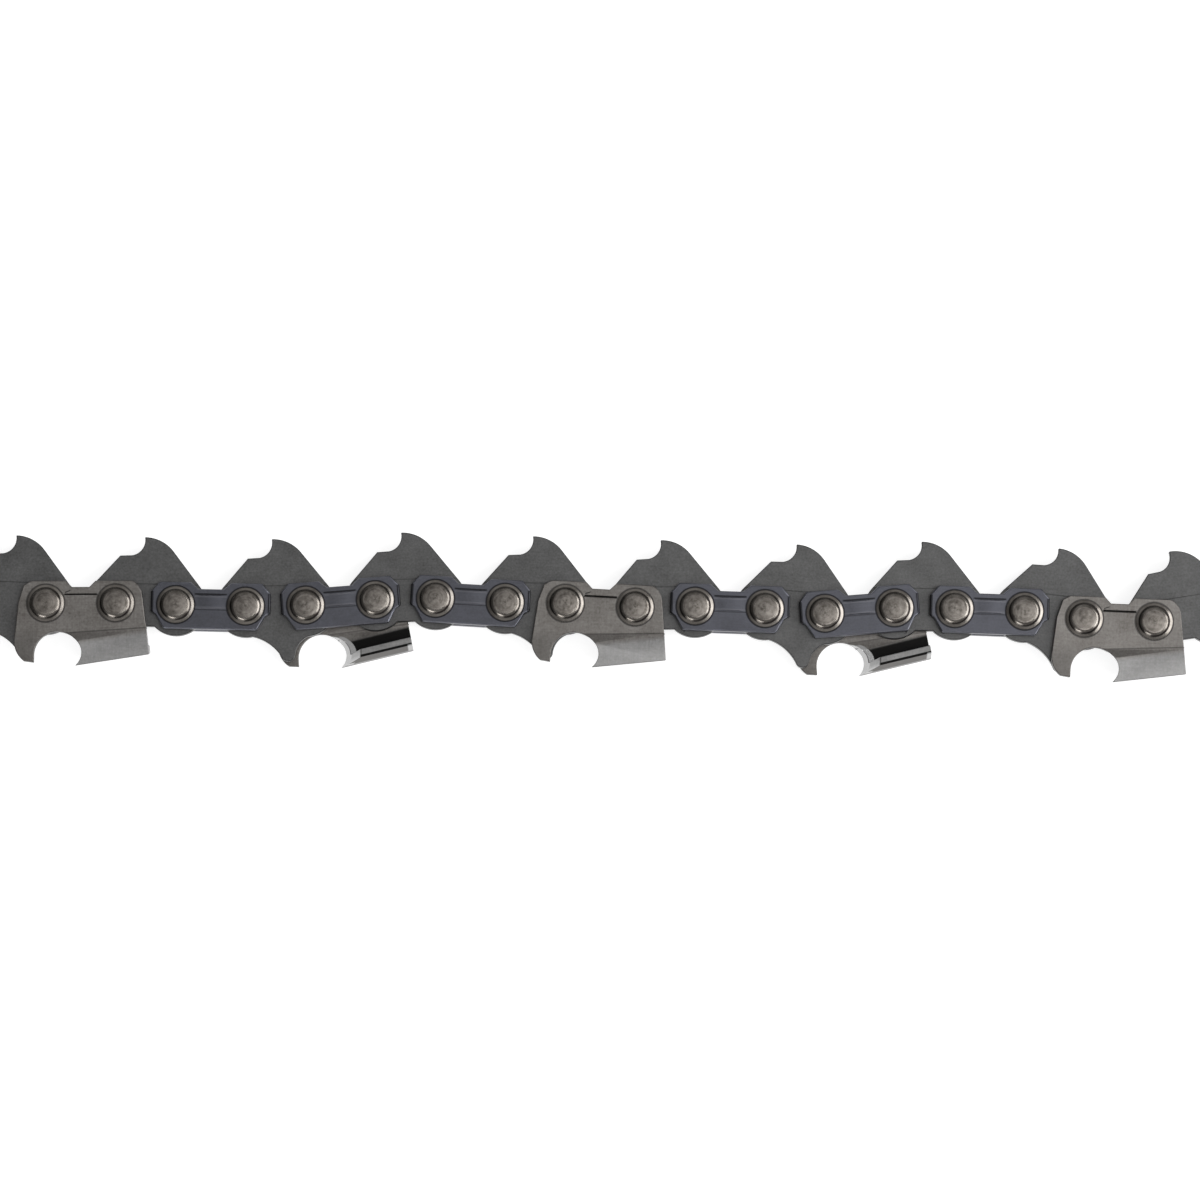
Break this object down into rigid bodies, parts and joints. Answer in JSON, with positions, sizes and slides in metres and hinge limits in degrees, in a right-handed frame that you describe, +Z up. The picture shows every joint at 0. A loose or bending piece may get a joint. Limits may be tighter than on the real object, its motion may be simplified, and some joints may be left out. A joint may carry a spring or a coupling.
{
  "type": "chainsaw chain section",
  "caption": "Stretch of riveted saw chain with cutters, tie straps and hooked drive links, every rivet a pivot, laid on its side.",
  "frame": {"origin": "middle of the bounding box, on the surface that the chain lies on", "axes": "+X along the chain with the cutters leading towards -X, +Y to the drive tangs, +Z up"},
  "size_m": [0.1636, 0.0192, 0.0053],
  "materials": {
    "drive_link_steel": "dark tumbled steel",
    "strap_steel": "blued steel",
    "cutter_steel": "satin hard-chromed steel",
    "rivet_steel": "spun polished steel"
  },
  "bodies": {
    "drive_1": {"guard_drive_link_1": "drive_link_steel"},
    "plates_1": {"upper_cutter_1": "cutter_steel", "lower_tie_strap_1": "strap_steel", "left_rivet_1": "rivet_steel", "right_rivet_1": "rivet_steel"},
    "drive_2": {"drive_link_2": "drive_link_steel"},
    "plates_2": {"upper_tie_strap_2": "strap_steel", "lower_tie_strap_2": "strap_steel", "left_rivet_2": "rivet_steel", "right_rivet_2": "rivet_steel"},
    "drive_3": {"guard_drive_link_3": "drive_link_steel"},
    "plates_3": {"upper_tie_strap_3": "strap_steel", "lower_cutter_3": "cutter_steel", "left_rivet_3": "rivet_steel", "right_rivet_3": "rivet_steel"},
    "drive_4": {"drive_link_4": "drive_link_steel"},
    "plates_4": {"upper_tie_strap_4": "strap_steel", "lower_tie_strap_4": "strap_steel", "left_rivet_4": "rivet_steel", "right_rivet_4": "rivet_steel"},
    "drive_5": {"guard_drive_link_5": "drive_link_steel"},
    "plates_5": {"upper_cutter_5": "cutter_steel", "lower_tie_strap_5": "strap_steel", "left_rivet_5": "rivet_steel", "right_rivet_5": "rivet_steel"},
    "drive_6": {"drive_link_6": "drive_link_steel"},
    "plates_6": {"upper_tie_strap_6": "strap_steel", "lower_tie_strap_6": "strap_steel", "left_rivet_6": "rivet_steel", "right_rivet_6": "rivet_steel"},
    "drive_7": {"guard_drive_link_7": "drive_link_steel"},
    "plates_7": {"upper_tie_strap_7": "strap_steel", "lower_cutter_7": "cutter_steel", "left_rivet_7": "rivet_steel", "right_rivet_7": "rivet_steel"},
    "drive_8": {"drive_link_8": "drive_link_steel"},
    "plates_8": {"upper_tie_strap_8": "strap_steel", "lower_tie_strap_8": "strap_steel", "left_rivet_8": "rivet_steel", "right_rivet_8": "rivet_steel"},
    "drive_9": {"guard_drive_link_9": "drive_link_steel"},
    "plates_9": {"upper_cutter_9": "cutter_steel", "lower_tie_strap_9": "strap_steel", "left_rivet_9": "rivet_steel", "right_rivet_9": "rivet_steel"},
    "drive_10": {"drive_link_10": "drive_link_steel"}
  },
  "joints": [
    {"name": "plates_5_to_drive_6", "type": "hinge", "parent": "plates_5", "child": "drive_6", "pos_m": [0.00451, 0, 0.00263], "axis": [0, 0, 1], "range_deg": [-14.1, 25.9]},
    {"name": "drive_6_to_plates_6", "type": "hinge", "parent": "drive_6", "child": "plates_6", "pos_m": [0.01214, 0.00012, 0.00263], "axis": [0, 0, -1], "range_deg": [-32.9, 7.1]},
    {"name": "plates_6_to_drive_7", "type": "hinge", "parent": "plates_6", "child": "drive_7", "pos_m": [0.02102, -0.00019, 0.00263], "axis": [0, 0, 1], "range_deg": [-7.5, 32.5]},
    {"name": "drive_7_to_plates_7", "type": "hinge", "parent": "drive_7", "child": "plates_7", "pos_m": [0.02862, -0.00079, 0.00263], "axis": [0, 0, -1], "range_deg": [-21, 19]},
    {"name": "plates_7_to_drive_8", "type": "hinge", "parent": "plates_7", "child": "drive_8", "pos_m": [0.03748, -0.00009, 0.00263], "axis": [0, 0, 1], "range_deg": [-4.7, 35.3]},
    {"name": "drive_8_to_plates_8", "type": "hinge", "parent": "drive_8", "child": "plates_8", "pos_m": [0.04511, -0.0002, 0.00263], "axis": [0, 0, -1], "range_deg": [-31.2, 8.8]},
    {"name": "plates_8_to_drive_9", "type": "hinge", "parent": "plates_8", "child": "drive_9", "pos_m": [0.05398, -0.00051, 0.00263], "axis": [0, 0, 1], "range_deg": [-4.9, 35.1]},
    {"name": "drive_9_to_plates_9", "type": "hinge", "parent": "drive_9", "child": "plates_9", "pos_m": [0.06155, -0.00145, 0.00263], "axis": [0, 0, -1], "range_deg": [-25.3, 14.7]},
    {"name": "plates_9_to_drive_10", "type": "hinge", "parent": "plates_9", "child": "drive_10", "pos_m": [0.07042, -0.00182, 0.00263], "axis": [0, 0, 1], "range_deg": [-21.2, 18.8]},
    {"name": "drive_5_to_plates_5", "type": "hinge", "parent": "plates_5", "child": "drive_5", "pos_m": [-0.00435, 0.0005, 0.00263], "axis": [0, 0, 1], "range_deg": [-32.4, 7.6]},
    {"name": "plates_4_to_drive_5", "type": "hinge", "parent": "drive_5", "child": "plates_4", "pos_m": [-0.01198, 0.0006, 0.00263], "axis": [0, 0, -1], "range_deg": [-12.5, 27.5]},
    {"name": "drive_4_to_plates_4", "type": "hinge", "parent": "plates_4", "child": "drive_4", "pos_m": [-0.02085, 0.00111, 0.00263], "axis": [0, 0, 1], "range_deg": [-34.5, 5.5]},
    {"name": "plates_3_to_drive_4", "type": "hinge", "parent": "drive_4", "child": "plates_3", "pos_m": [-0.02848, 0.00095, 0.00263], "axis": [0, 0, -1], "range_deg": [-6.7, 33.3]},
    {"name": "drive_3_to_plates_3", "type": "hinge", "parent": "plates_3", "child": "drive_3", "pos_m": [-0.03733, 0.00026, 0.00263], "axis": [0, 0, 1], "range_deg": [-26.5, 13.5]},
    {"name": "plates_2_to_drive_3", "type": "hinge", "parent": "drive_3", "child": "plates_2", "pos_m": [-0.04496, 0.00012, 0.00263], "axis": [0, 0, -1], "range_deg": [-12.3, 27.7]},
    {"name": "drive_2_to_plates_2", "type": "hinge", "parent": "plates_2", "child": "drive_2", "pos_m": [-0.05383, 0.00032, 0.00263], "axis": [0, 0, 1], "range_deg": [-29.7, 10.3]},
    {"name": "plates_1_to_drive_2", "type": "hinge", "parent": "drive_2", "child": "plates_1", "pos_m": [-0.06146, 0.00054, 0.00263], "axis": [0, 0, -1], "range_deg": [-8.2, 31.8]},
    {"name": "drive_1_to_plates_1", "type": "hinge", "parent": "plates_1", "child": "drive_1", "pos_m": [-0.07034, 0.00051, 0.00263], "axis": [0, 0, 1], "range_deg": [-27.4, 12.6]}
  ]
}
